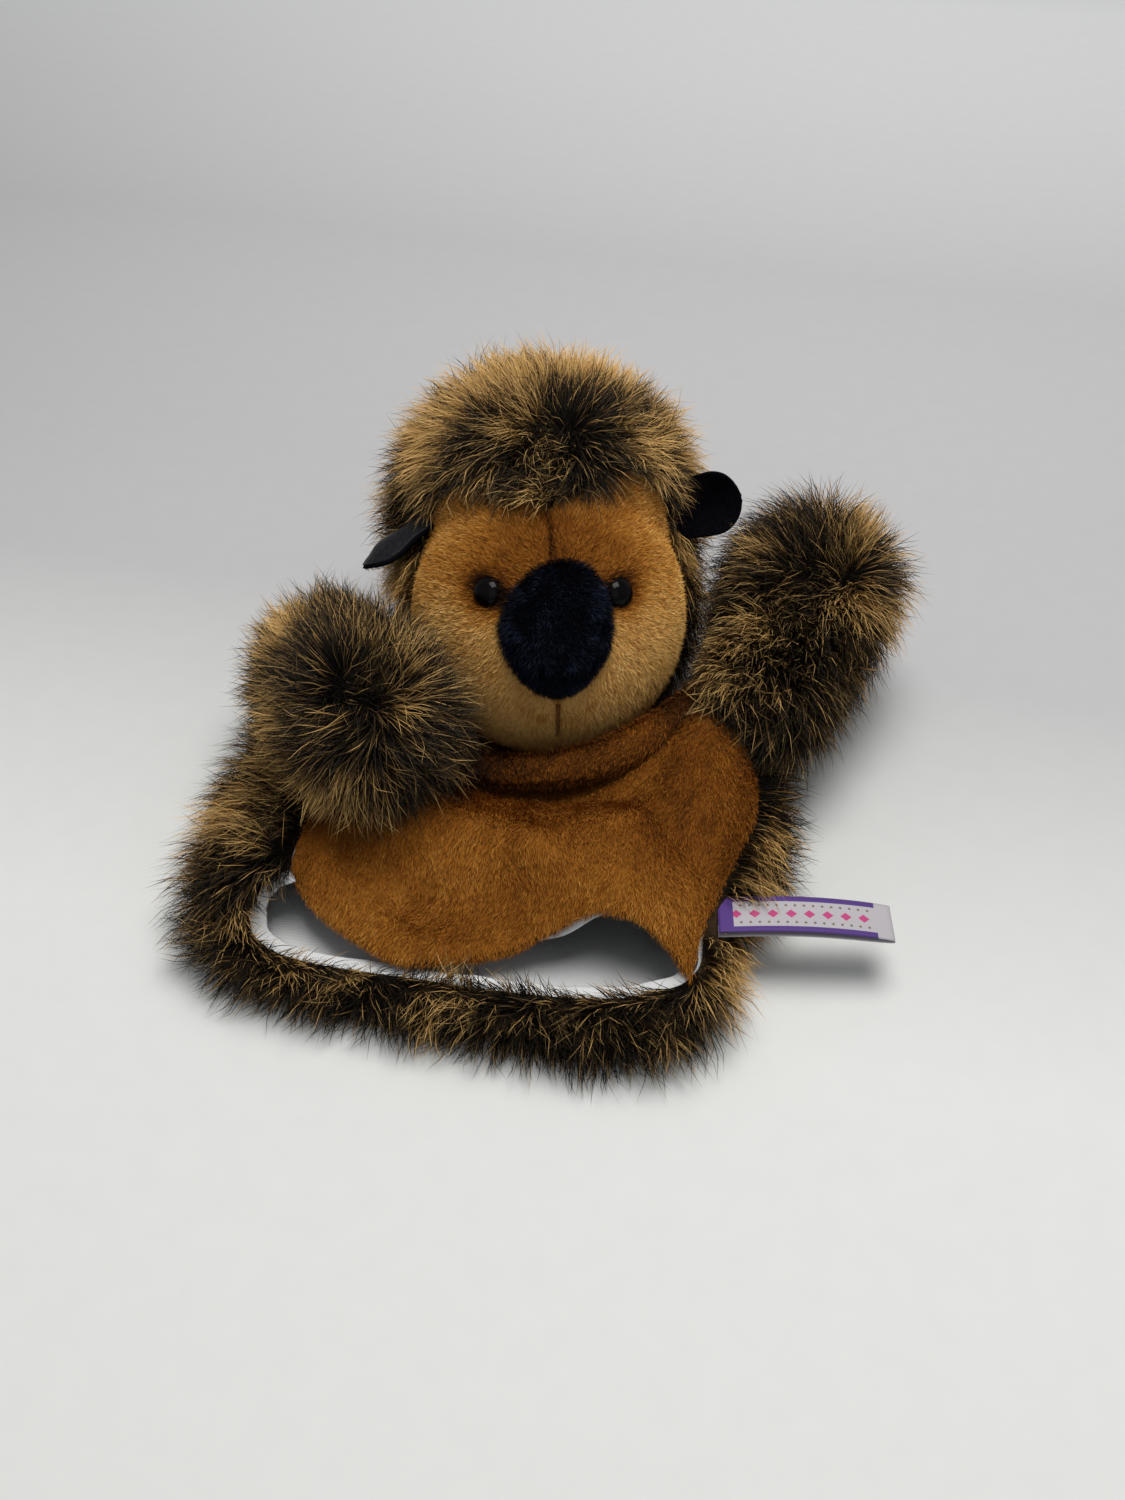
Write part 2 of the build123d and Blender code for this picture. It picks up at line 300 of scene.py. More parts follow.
# Each cloth's cut: width, length and area in millimetres, measured along its own modelled surface.
CUTS = {
    "belly_panel": (171, 157, 19300),
    "back_panel": (259, 183, 34100),
    "lining_front": (170, 148, 18000),
    "lining_back": (254, 180, 32300),
    "arm_pocket_left": (77, 70, 3900),
    "arm_pocket_right": (76, 73, 4100),
    "head_pocket": (71, 52, 2900),
    "neck_tube": (112, 48, 2700),
}


def thicken(obj, thickness):
    solid = obj.modifiers.new("thickness", "SOLIDIFY")
    solid.thickness = thickness * MM
    solid.offset = -1


# Pile: every hair is a narrow ribbon that leans over as it rises.

Pile = namedtuple("Pile", "per_cm2 length vary width lean_root lean_tip stray tousle clump cell steps "
                          "scatter")
LONG_FUR = Pile(190, 17.0, 0.30, 0.32, 0.25, 1.00, 0.50, 0.9, 0.52, 3.2, 3, 0.32)
PRESSED_FUR = Pile(25, 12.0, 0.25, 0.45, 1.2, 1.5, 0.5, 0.5, 0.30, 5.0, 2, 0.2)
BELLY_PLUSH = Pile(520, 3.1, 0.22, 0.23, 0.60, 1.25, 0.22, 0.2, 0.25, 1.6, 2, 0.09)
FACE_PLUSH = Pile(520, 2.5, 0.25, 0.23, 0.45, 1.05, 0.35, 0.3, 0.32, 1.5, 2, 0.13)
NOSE_PLUSH = Pile(650, 2.5, 0.25, 0.24, 0.25, 0.8, 0.6, 0.5, 0.3, 1.6, 2, 0.3)
EAR_PLUSH = Pile(380, 1.5, 0.25, 0.26, 0.3, 0.9, 0.5, 0.3, 0.2, 1.5, 1, 0.1)
TOUSLE_SIZE = 9.0
MOST_TRIANGLES = 190000             # in one piece of hair


def sow(points, faces, per_cm2, rng, weight=None):
    """Root points spread evenly over a surface, with their normals."""
    tris = triangles(faces)
    a, b, c = points[tris[:, 0]], points[tris[:, 1]], points[tris[:, 2]]
    area = np.linalg.norm(np.cross(b - a, c - a), axis=1) / 2
    if weight is not None:
        area = area * weight((a + b + c) / 3)
    total = area.sum()
    count = int(total / 100 * per_cm2)
    picks = (np.arange(count) + rng.random(count)) * total / count
    chosen = np.minimum(np.searchsorted(np.cumsum(area), picks), len(tris) - 1)
    u, v = rng.random(count), rng.random(count)
    over = u + v > 1
    u, v = np.where(over, 1 - u, u)[:, None], np.where(over, 1 - v, v)[:, None]
    roots = a[chosen] * (1 - u - v) + b[chosen] * u + c[chosen] * v
    normals = normals_of(points, faces)
    na, nb, nc = (normals[tris[chosen, corner]] for corner in range(3))
    return roots, unit(na * (1 - u - v) + nb * u + nc * v)


def flat_on(vectors, normals):
    """The part of vectors that lies in the surface, made one long."""
    return unit(vectors - np.sum(vectors * normals, axis=1, keepdims=True) * normals)


def hair_lines(roots, normals, comb, pile, length, press, rng):
    """The points along every hair, as an array of (hair, step, xyz)."""
    count = len(roots)
    cell = np.floor(roots / pile.cell + 0.35 * rng.standard_normal((count, 3))).astype(np.int64)
    tuft = np.stack([lattice(cell, seed) for seed in (11, 12, 13)], -1)
    drift = noise_way(roots, TOUSLE_SIZE, 15)
    way = comb + pile.stray * (0.6 * rng.standard_normal((count, 3)) + 0.7 * tuft) + pile.tousle * drift
    way = flat_on(way, normals)
    swerve = 0.45 * np.cross(normals, way) * rng.standard_normal(count)[:, None]
    lean_more = press + 0.25 * lattice(cell, 14) + 0.14 * rng.standard_normal(count)
    pull = ((cell + 0.5) * pile.cell - roots)
    pull = pull - np.sum(pull * normals, axis=1, keepdims=True) * normals
    lines = [roots - 0.3 * normals]
    for step in range(pile.steps):
        lean = pile.lean_root + (pile.lean_tip - pile.lean_root) * step / max(pile.steps - 1, 1) + lean_more
        lean = np.clip(lean, 0.05, 1.55)[:, None]
        heading = unit(normals * np.cos(lean) + (way + swerve * step / pile.steps) * np.sin(lean))
        lines.append(lines[-1] + heading * (length / pile.steps)[:, None])
    share = (np.arange(pile.steps + 1) / pile.steps) ** 2
    return np.stack(lines, 1) + pile.clump * share[None, :, None] * pull[:, None, :]


def ribbons(name, lines, normals, width, shade, body, slot, rng):
    """Pieces of hair made of ribbons that taper to a point."""
    count, rings = lines.shape[0], lines.shape[1] - 1
    heading = unit(lines[:, 1:] - lines[:, :-1])
    side = unit(np.cross(heading, normals[:, None, :]))
    twist = rng.normal(0, 0.7, count)[:, None, None]
    side = side * np.cos(twist) + np.cross(heading, side) * np.sin(twist)
    taper = width * (1 - 0.45 * np.arange(rings) / rings)
    half = side * (taper / 2)[None, :, None]
    base = lines[:, :-1]
    points = np.concatenate([np.stack([base - half, base + half], 2).reshape(count, -1, 3), lines[:, -1:]], 1)
    per_hair = 2 * rings + 1
    quads = [(2 * k, 2 * k + 1, 2 * k + 3, 2 * k + 2) for k in range(rings - 1)]
    loop = np.array([i for quad in quads for i in quad] + [2 * rings - 2, 2 * rings - 1, 2 * rings])
    start = np.array([4 * k for k in range(rings)])
    along = np.append(np.repeat(np.arange(rings) / rings, 2), 1.0)
    across = np.append(np.tile((-1.0, 1.0), rings), 0.0)
    most = MOST_TRIANGLES // (2 * rings - 1)
    for part, begin in enumerate(range(0, count, most)):
        some = slice(begin, min(begin + most, count))
        number = some.stop - some.start
        loops = (np.arange(number)[:, None] * per_hair + loop).ravel()
        starts = (np.arange(number)[:, None] * len(loop) + start).ravel()
        obj = new_object(f"{name}_{part + 1}", points[some].reshape(-1, 3), loops, starts)
        u = 0.01 + 0.98 * shade[some, None] + 0.004 * across[loop][None, :]
        v = np.broadcast_to(0.01 + 0.98 * along[loop], u.shape)
        layer = obj.data.uv_layers.new(name="OFBake")
        layer.data.foreach_set("uv", np.stack([u, v], -1).astype(np.float32).ravel())
        obj.data.materials.append(MATERIALS[slot])
        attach(obj, body)


def above_floor(lines, rng):
    """Hair that would reach into the floor lies on it, and hair that would leave REACH is held inside it."""
    lowest = FLOOR_GAP + 1.2 * rng.random(len(lines))[:, None]
    lines[:, :, 2] = np.maximum(lines[:, :, 2], lowest)
    return np.clip(lines, *REACH)


def fur(name, surface, comb, pile, body, slot, shade, seed, length=None, weight=None, press=None):
    """Grows pile on a surface. comb, length, shade, weight and press are functions of the root points."""
    rng = np.random.default_rng(seed)
    roots, normals = sow(*surface, pile.per_cm2, rng, weight)
    size = pile.length * (1 + pile.vary * rng.standard_normal(len(roots)).clip(-2, 2))
    if length is not None:
        size = size * length(roots)
    down = press(roots) if press is not None else 0.0
    lines = hair_lines(roots, normals, comb(roots, normals), pile, size, down, rng)
    lines = above_floor(lines, rng)
    tone = np.clip(shade(roots) + pile.scatter * rng.standard_normal(len(roots)), 0, 1)
    ribbons(name, lines, normals, pile.width, tone, body, slot, rng)


# Materials

def make_material(name, roughness, sheen=0.0, specular=0.5):
    material = bpy.data.materials.new(name)
    material.use_nodes = True
    shader = material.node_tree.nodes["Principled BSDF"]
    shader.inputs["Roughness"].default_value = roughness
    shader.inputs["Sheen Weight"].default_value = sheen
    shader.inputs["Specular IOR Level"].default_value = specular
    return material, material.node_tree, shader


def add_ramp(tree, factor, stops):
    """A colour ramp through (place, colour) stops, driven by a socket."""
    ramp = tree.nodes.new("ShaderNodeValToRGB")
    elements = ramp.color_ramp.elements
    for place, _ in stops[2:]:
        elements.new(place)
    for element, (place, colour) in zip(elements, stops):
        element.position = place
        element.color = (*colour, 1)
    tree.links.new(factor, ramp.inputs["Fac"])
    return ramp.outputs["Color"]


def add_mix(tree, factor, first, second, kind="MIX"):
    mix = tree.nodes.new("ShaderNodeMix")
    mix.data_type = "RGBA"
    mix.blend_type = kind
    for value, socket in ((factor, mix.inputs[0]), (first, mix.inputs[6]), (second, mix.inputs[7])):
        if isinstance(value, bpy.types.NodeSocket):
            tree.links.new(value, socket)
        elif isinstance(value, tuple):
            socket.default_value = (*value, 1)
        else:
            socket.default_value = value
    return mix.outputs[2]


def add_noise(tree, vector, scale, detail=3.0):
    node = tree.nodes.new("ShaderNodeTexNoise")
    node.inputs["Scale"].default_value = scale
    node.inputs["Detail"].default_value = detail
    tree.links.new(vector, node.inputs["Vector"])
    return node.outputs["Fac"]


def add_bump(tree, shader, height, strength, distance):
    node = tree.nodes.new("ShaderNodeBump")
    node.inputs["Strength"].default_value = strength
    node.inputs["Distance"].default_value = distance * MM
    tree.links.new(height, node.inputs["Height"])
    tree.links.new(node.outputs["Normal"], shader.inputs["Normal"])


def object_place(tree):
    return tree.nodes.new("ShaderNodeTexCoord").outputs["Object"]


def hair_place(tree):
    """The shade of a hair and how far along it, from its own UV map."""
    layer = tree.nodes.new("ShaderNodeUVMap")
    layer.uv_map = "OFBake"
    parts = tree.nodes.new("ShaderNodeSeparateXYZ")
    tree.links.new(layer.outputs["UV"], parts.inputs["Vector"])
    return parts.outputs["X"], parts.outputs["Y"]


PLUSH_STOPS = (
    (0.0, (0.012, 0.006, 0.003)), (0.16, (0.075, 0.025, 0.006)), (0.34, (0.27, 0.088, 0.012)),
    (0.55, (0.45, 0.175, 0.024)), (0.76, (0.66, 0.33, 0.070)), (1.0, (0.92, 0.59, 0.205)),
)
FUR_DARK = ((0.0, (0.005, 0.004, 0.003)), (0.65, (0.008, 0.006, 0.004)), (0.88, (0.026, 0.017, 0.008)),
            (1.0, (0.15, 0.092, 0.036)))
FUR_GOLD = ((0.0, (0.008, 0.006, 0.004)), (0.30, (0.050, 0.028, 0.008)), (0.50, (0.38, 0.21, 0.060)),
            (1.0, (0.82, 0.53, 0.205)))


def make_fur_material():
    material, tree, shader = make_material("long_pile", 0.6, specular=0.12)
    shade, along = hair_place(tree)
    dark = add_ramp(tree, along, FUR_DARK)
    gold = add_ramp(tree, along, FUR_GOLD)
    kind = add_ramp(tree, shade, ((0.22, (0.0, 0.0, 0.0)), (0.74, (1.0, 1.0, 1.0))))
    tree.links.new(add_mix(tree, kind, dark, gold), shader.inputs["Base Color"])
    return material


def make_plush_material():
    material, tree, shader = make_material("golden_plush", 0.8, specular=0.06)
    shade, along = hair_place(tree)
    colour = add_ramp(tree, shade, PLUSH_STOPS)
    depth = add_ramp(tree, along, ((0.0, (0.5, 0.45, 0.4)), (1.0, (1.08, 1.08, 1.08))))
    tree.links.new(add_mix(tree, 1.0, colour, depth, "MULTIPLY"), shader.inputs["Base Color"])
    return material


def make_black_plush_material():
    material, tree, shader = make_material("black_plush", 0.6, specular=0.06)
    shade, along = hair_place(tree)
    tip = add_ramp(tree, shade, ((0.2, (0.001, 0.0015, 0.003)), (0.75, (0.006, 0.010, 0.024)),
                                 (1.0, (0.030, 0.042, 0.075))))
    colour = add_mix(tree, along, (0.001, 0.001, 0.002), tip)
    tree.links.new(colour, shader.inputs["Base Color"])
    return material


def make_backing_material(name, stops, darken, spots):
    """Knitted backing under a pile, coloured by the shade stored on its points."""
    material, tree, shader = make_material(name, 0.9, specular=0.05)
    shade = tree.nodes.new("ShaderNodeAttribute")
    shade.attribute_name = "shade"
    colour = add_ramp(tree, shade.outputs["Fac"], stops)
    place = object_place(tree)
    lumps = add_noise(tree, place, spots)
    tone = add_ramp(tree, lumps, ((0.3, (darken,) * 3), (0.7, (darken * 1.5,) * 3)))
    tree.links.new(add_mix(tree, 1.0, colour, tone, "MULTIPLY"), shader.inputs["Base Color"])
    add_bump(tree, shader, lumps, 0.4, 0.4)
    return material


def make_twill_material():
    """White cotton twill: fine slanted ridges, a little grey in soft patches, and darkened deep inside the
    body, in place of the shadow that the lights here don't cast there."""
    material, tree, shader = make_material("lining_twill", 0.8, specular=0.15)
    layer = tree.nodes.new("ShaderNodeUVMap")
    layer.uv_map = "cloth"
    turn = tree.nodes.new("ShaderNodeMapping")
    turn.inputs["Rotation"].default_value = (0, 0, math.radians(58))
    tree.links.new(layer.outputs["UV"], turn.inputs["Vector"])
    wave = tree.nodes.new("ShaderNodeTexWave")
    wave.inputs["Scale"].default_value = 0.55
    wave.inputs["Distortion"].default_value = 0.8
    wave.inputs["Detail"].default_value = 1.0
    tree.links.new(turn.outputs["Vector"], wave.inputs["Vector"])
    grey_patches = add_noise(tree, layer.outputs["UV"], 0.05)
    cloth = add_ramp(tree, wave.outputs["Fac"], ((0.0, (0.56, 0.58, 0.59)), (0.6, (0.70, 0.71, 0.71))))
    grey = add_ramp(tree, grey_patches, ((0.35, (0.88, 0.88, 0.89)), (0.65, (1.0, 1.0, 1.0))))
    depth = tree.nodes.new("ShaderNodeAttribute")
    depth.attribute_name = "shade"
    shadow = add_ramp(tree, depth.outputs["Fac"], ((0.0, (1.0, 1.0, 1.0)), (1.0, (0.34, 0.34, 0.34))))
    cloth = add_mix(tree, 1.0, cloth, shadow, "MULTIPLY")
    tree.links.new(add_mix(tree, 1.0, cloth, grey, "MULTIPLY"), shader.inputs["Base Color"])
    add_bump(tree, shader, wave.outputs["Fac"], 0.5, 0.15)
    return material


def make_grain_material(name, low, high, roughness, size, bump_height, specular):
    """A solid material with fine grain, such as leather, plastic or fibre."""
    material, tree, shader = make_material(name, roughness, specular=specular)
    place = object_place(tree)
    grain = add_noise(tree, place, 1 / (size * MM), 4.0)
    tree.links.new(add_ramp(tree, grain, ((0.3, low), (0.7, high))), shader.inputs["Base Color"])
    add_bump(tree, shader, grain, 0.5, bump_height)
    return material


def make_label_material():
    """Woven ribbon: a purple border round a white ground with a plain row of lozenges."""
    material, tree, shader = make_material("woven_ribbon", 0.6, sheen=0.2, specular=0.3)
    layer = tree.nodes.new("ShaderNodeUVMap")
    layer.uv_map = "cloth"
    parts = tree.nodes.new("ShaderNodeSeparateXYZ")
    tree.links.new(layer.outputs["UV"], parts.inputs["Vector"])

    def compute(kind, *values):
        node = tree.nodes.new("ShaderNodeMath")
        node.operation = kind
        for value, socket in zip(values, node.inputs):
            if isinstance(value, bpy.types.NodeSocket):
                tree.links.new(value, socket)
            else:
                socket.default_value = value
        return node.outputs[0]

    across, along = parts.outputs["X"], parts.outputs["Y"]
    from_middle = compute("ABSOLUTE", compute("SUBTRACT", across, LABEL_WIDTH / 2))
    border = compute("GREATER_THAN", from_middle, LABEL_WIDTH / 2 - 2.2)
    foot = compute("LESS_THAN", along, 5.0)
    end = compute("GREATER_THAN", along, LABEL_LENGTH + LABEL_INSET - 6.0)
    step = compute("PINGPONG", along, 3.0)
    lozenge = compute("LESS_THAN", compute("ADD", compute("MULTIPLY", from_middle, 1.1), step), 1.9)
    dots = compute("LESS_THAN", compute("ADD", compute("ABSOLUTE", compute("SUBTRACT", from_middle, 3.6)),
                                        compute("PINGPONG", compute("ADD", along, 1.5), 1.5)), 0.6)
    weave = add_noise(tree, layer.outputs["UV"], 3.0)
    ground = add_ramp(tree, weave, ((0.3, (0.34, 0.32, 0.34)), (0.7, (0.44, 0.42, 0.45))))
    purple = add_ramp(tree, weave, ((0.3, (0.035, 0.014, 0.12)), (0.7, (0.09, 0.03, 0.22))))
    colour = add_mix(tree, lozenge, ground, (0.42, 0.04, 0.16))
    colour = add_mix(tree, dots, colour, (0.16, 0.11, 0.08))
    colour = add_mix(tree, compute("MAXIMUM", border, foot), colour, purple)
    colour = add_mix(tree, end, colour, ground)
    tree.links.new(colour, shader.inputs["Base Color"])
    add_bump(tree, shader, weave, 0.4, 0.1)
    return material


BACKING_STOPS = ((0.0, (0.006, 0.004, 0.003)), (1.0, (0.04, 0.025, 0.012)))
GRAINS = {                          # two colours, roughness, size and height of the grain, shine
    "black_backing": ((0.001, 0.001, 0.002), (0.002, 0.002, 0.004), 0.9, 1.2, 0.2, 0.05),
    "ear_leather": ((0.002, 0.002, 0.003), (0.009, 0.009, 0.011), 0.45, 1.6, 0.5, 0.2),
    "black_eye": ((0.001, 0.001, 0.001), (0.003, 0.002, 0.002), 0.14, 4.0, 0.01, 0.09),
    "brown_thread": ((0.10, 0.035, 0.008), (0.20, 0.075, 0.02), 0.7, 0.5, 0.1, 0.3),
    "washer_plastic": ((0.70, 0.69, 0.65), (0.78, 0.77, 0.73), 0.45, 3.0, 0.05, 0.3),
}
MATERIALS = {
    "long_pile": make_fur_material(),
    "golden_plush": make_plush_material(),
    "black_plush": make_black_plush_material(),
    "fur_backing": make_backing_material("fur_backing", BACKING_STOPS, 0.8, 300),
    "plush_backing": make_backing_material("plush_backing", PLUSH_STOPS, 0.6, 500),
    "lining_twill": make_twill_material(),
    "woven_ribbon": make_label_material(),
    **{name: make_grain_material(name, *grain) for name, grain in GRAINS.items()},
}
BACKING = {"long_pile": "fur_backing", "golden_plush": "plush_backing", "black_plush": "black_backing"}


def dress_cad(material, *nodes):
    """Gives CAD nodes a better material."""
    for node in nodes:
        data = frame["nodes"][node].data
        data.materials.clear()
        data.materials.append(MATERIALS[material])


# Head

def head_distance(points):
    x, y, z = in_head(points).T
    face = np.sqrt(x**2 + y**2 + np.where(z < 0, z / CHIN_STRETCH, z) ** 2) - FACE_RADIUS
    hood = gap_to(points, HOOD) - HOOD_RADIUS
    nape = gap_to(points, NAPE) - NAPE_RADIUS
    back = blend_min(hood, nape, 14)
    return blend_min(face, back, 4)


def behind_hairline(points):
    """How far points lie behind the line where the long pile starts, with a peak over the forehead."""
    x, y, z = in_head(points).T
    turn = np.arctan2(z, np.abs(x))
    peak = bump(turn, math.pi / 2, 0.45)
    line = HAIRLINE_SIDE - (HAIRLINE_SIDE - HAIRLINE_PEAK) * peak + 0.25 * np.clip(-turn, 0, 2)
    return (np.arctan2(np.hypot(x, z), -y) - line) * FACE_RADIUS


def face_shade(points):
    """The shade of the golden plush on the face: light muzzle and cheeks, brown brow and eyes."""
    x, y, z = in_head(points).T
    tone = 0.54 + 0.07 * noise(points, 9.0, 21) + 0.05 * noise(points, 3.0, 22)
    muzzle = smooth_step(-z + 0.12 * np.abs(x) + 4 * noise(points, 12, 23), -11, 7) * smooth_step(-y, -4, 20)
    tone = tone + 0.36 * muzzle + 0.05 * smooth_step(-z, 0, 26)
    tone = tone - 0.14 * bump(x, 0, 12) * bump(z, 24, 12) - 0.08 * smooth_step(z, 8, 24)
    tone = tone + 0.24 * (1 - muzzle) * smooth_step(np.abs(x), 12, 40)
    for side in (-1, 1):
        eye = EYES[side]
        out, over = side * (x - eye[0]), z - eye[1]
        reach = np.hypot(np.where(out < 0, out / 1.5, out), over - 0.25 * out)
        ring = 0.80 * bump(reach, 0, 6.3) + 0.14 * bump(reach, 0, 12) * (z > eye[1] - 6)
        tone = tone - ring * (y < 0)
    seam = bump(x, 0, 1.2) * (y < 0)
    tone = tone - seam * (0.30 * smooth_step(-z, 22, 26) * smooth_step(z, -44, -36) + 0.25 * bump(z, 28, 10))
    smile = np.abs(z + 36 - 0.035 * x**2)
    tone = tone - 0.16 * bump(smile, 0, 1.3) * (np.abs(np.abs(x) - 9) < 5) * (y < 0)
    return np.clip(tone, 0, 1)


EYES = {-1: (-22.6, 10.3), 1: (22.4, 8.3)}        # across and up, in the head's axes
EYE_RADIUS = 5.6


def seam_groove(points):
    """How deep the middle seam of the face pulls in."""
    x, y, _ = in_head(points).T
    return 1.3 * bump(x, 0, 1.6) * (y < 0)


def fur_patches(points, size=17.0):
    """Mottling of the long pile, from dark to gold."""
    return 0.5 + 1.3 * noise(points, size, 31) + 0.8 * noise(points, size / 2.6, 32)


def hood_shade(points):
    x = in_head(points)[:, 0]
    crown = bump(gap_to(points, CROWN_WHORL), 0, 24)
    fringe = bump(behind_hairline(points), 4, 20) * bump(x, 4, 26)
    sides = smooth_step(np.abs(x), 22, 42)
    return np.clip(fur_patches(points, 15) + 0.25 + 0.06 * sides - 0.16 * crown - 1.3 * fringe, 0, 1)


def hood_comb(points, normals):
    behind = behind_hairline(points)
    middle = bump(in_head(points)[:, 0], 2, 24)
    away = unit(points - CROWN_WHORL)
    forward = -BACK * ((0.2 + 1.6 * middle) * bump(behind, 0, 22))[:, None]
    return flat_on(away + forward, normals)


def hood_press(points):
    """The fringe lies forward over the brow."""
    return 0.45 * bump(behind_hairline(points), 0, 16)


def hood_length(points):
    low = smooth_step(points[:, 2], 4, 30)
    crown = bump(gap_to(points, CROWN_WHORL), 0, 30)
    return (0.6 + 0.4 * low) * (1 - 0.18 * crown) * (1 - 0.7 * near_ears(points, 16))


def near_ears(points, width):
    """One just in front of the root of an ear, falling to nothing over width."""
    roots = [joint_at(f"ear_{name}_flop") - 5 * BACK for name in EARS]
    return sum(bump(gap_to(points, root), 0, width) for root in roots)


def hood_weight(points):
    return np.clip(1 - 1.6 * near_ears(points, 10), 0, 1)


def off_eyes(points):
    x, y, z = in_head(points).T
    gap = np.min([np.hypot(x - eye[0], z - eye[1]) for eye in EYES.values()], axis=0)
    return np.where((gap < EYE_RADIUS - 0.6) & (y < 0), 0.0, 1.0)


def face_comb(points, normals):
    nose = head_point(0, -FACE_RADIUS, 0)
    drift = noise_way(points, 14, 41)
    return flat_on(unit(points - nose) + 0.5 * drift - 0.2 * UP, normals)


def make_head():
    points, faces = star(HEAD_MIDDLE, head_distance, 7)
    away = gap_to(points[:, :2], NECK[:2])
    hole = (points[:, 2] < NECK_FLAT) & (away < NECK_HOLE)
    whole = ~hole[faces].any(axis=1)
    behind = behind_hairline(points)[faces].mean(axis=1) > 0
    points = points - normals_of(points, faces) * seam_groove(points)[:, None]
    hood = keep_faces(points, faces, whole & behind)
    hood_skin = new_piece("hood_skin", *hood, "head", "long_pile", hood_shade(hood[0]))
    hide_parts("hood", "head_stuffing")
    fur("hood_fur", hood, hood_comb, LONG_FUR, "head", "long_pile", hood_shade, 1, hood_length, hood_weight,
        hood_press)
    for side, name in ((-1, "left"), (1, "right")):
        middle = (in_head(points)[faces].mean(axis=1)[:, 0] * side) > 0
        half = keep_faces(points, faces, whole & ~behind & middle)
        skin = new_piece(f"face_skin_{name}", *half, "head", "golden_plush", face_shade(half[0]))
        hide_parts(f"face_{name}")
        fur(f"face_plush_{name}", half, face_comb, FACE_PLUSH, "head", "golden_plush", face_shade,
            2 + side, weight=off_eyes)


def make_eyes():
    """Domed plastic eyes, set into the plush."""
    for side, name in ((-1, "left"), (1, "right")):
        x, z = EYES[side]
        middle = head_point(x, -math.sqrt(FACE_RADIUS**2 - x**2 - z**2) + 1.0, z)
        out = unit(middle - FACE)

        def distance(points):
            along = (points - middle) @ out
            flat = points - middle - along[:, None] * out
            return np.sqrt((along / 0.72) ** 2 + np.sum(flat**2, axis=1)) - EYE_RADIUS

        eye = new_piece(f"eye_dome_{name}", *star(middle, distance, 4), "head", "black_eye")
        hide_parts(f"eye_{name}")


NOSE = head_point(0, -44.5, -3)
NOSE_HALF = np.array((19.0, 16.0, 23.0))


def nose_distance(points):
    """An egg that narrows towards the mouth and leans to the right at its top."""
    x, y, z = ((points - NOSE) @ HEAD_AXES.T).T
    x = x - 3.2 * np.clip(z / NOSE_HALF[2], 0, 1) ** 1.5
    narrow = 1 - 0.16 * np.clip(-z / NOSE_HALF[2], 0, 1) ** 1.5
    reach = np.sqrt((x / (NOSE_HALF[0] * narrow)) ** 2 + (y / NOSE_HALF[1]) ** 2 + (z / NOSE_HALF[2]) ** 2)
    return (reach - 1) * 18


def make_nose():
    points, faces = star(NOSE, nose_distance, 6)
    outside = gap_to(points, FACE) > FACE_RADIUS - 1.5
    surface = keep_faces(points, faces, outside[faces].any(axis=1))
    skin = new_piece("nose_skin", *surface, "head", "black_plush")
    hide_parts("nose_cover", "nose_stuffing")

    def comb(roots, normals):
        drift = noise_way(roots, 5, 51)
        return flat_on(unit(roots - NOSE - 20 * UP) + drift, normals)

    def shade(roots):
        return np.clip(0.45 + 0.5 * noise(roots, 4, 54), 0, 1)

    fur("nose_plush", surface, comb, NOSE_PLUSH, "head", "black_plush", shade, 5)


EAR_LENGTH = 27.0
EAR_RADIUS = 11.5
EAR_ROOT = 10.5
EARS = {                            # the way it points and faces, how cupped it is, how far its root is moved
    "left": ((-22.0, -19.2, -13.9), (0.64, -0.235, -0.745), 0.50, (4.4, -1.1, 2.0)),
    "right": ((24.4, 9.0, 4.0), (0.08, -0.84, 0.54), 0.34, (-3.0, -1.8, 0.5)),
}


def ear_grid(name, offset, rows=36, columns=30):
    """One ply of an ear: narrow at the root, a round lobe, cupped towards its front."""
    reach, normal, cup, shift = EARS[name]
    length = unit(reach)
    across = unit(np.cross(length, normal))
    front = np.cross(across, length)
    along = np.linspace(-3, EAR_LENGTH, rows)
    round_part = np.clip(along - (EAR_LENGTH - EAR_RADIUS), 0, EAR_RADIUS)
    straight = EAR_ROOT + (EAR_RADIUS - EAR_ROOT) * smooth_step(along, 0, EAR_LENGTH - EAR_RADIUS)
    half = np.where(round_part > 0, np.sqrt(np.maximum(EAR_RADIUS**2 - round_part**2, 0.6)), straight)
    side = np.linspace(-1, 1, columns)
    x = half[:, None] * side[None, :]
    y = np.broadcast_to(along[:, None], x.shape)
    lift = cup * (x**2) / EAR_RADIUS + 0.10 * cup * (y - 10).clip(0) ** 2 / 6 + offset
    lift = lift + 0.9 * noise(np.stack([x, y, np.zeros_like(x)], -1), 6, 61)
    root = joint_at(f"ear_{name}_flop") + shift
    grid = root + x[..., None] * across + y[..., None] * length + lift[..., None] * front
    return grid, front


def make_ear(name):
    for ply, offset in (("front", 0.9), ("back", -0.9)):
        grid, front = ear_grid(name, offset)
        rows, columns = grid.shape[:2]
        faces = grid_faces(rows, columns)
        points = grid.reshape(-1, 3)
        if np.mean(normals_of(points, faces) @ front) * offset < 0:
            faces = faces[:, ::-1]
        plush = ply == "front"
        skin = new_piece(f"ear_{ply}_skin_{name}", points, faces, f"ear_{name}",
                         "black_plush" if plush else "ear_leather")
        thicken(skin, 1.0)
        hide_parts(f"ear_{ply}_{name}")
        if plush:
            fur(f"ear_plush_{name}", (points, faces), lambda r, n: flat_on(r - points.mean(0), n), EAR_PLUSH,
                f"ear_{name}", "black_plush", lambda r: np.full(len(r), 0.2), 7)


# Arms

def arm_axis(name):
    """The way an arm points, from its lift axis and its rise."""
    level = np.cross((0, 0, 1), joint_axis(f"arm_{name}_lift"))
    return level * math.cos(ARM_RISE[name]) + np.array((0, 0, 1)) * math.sin(ARM_RISE[name])


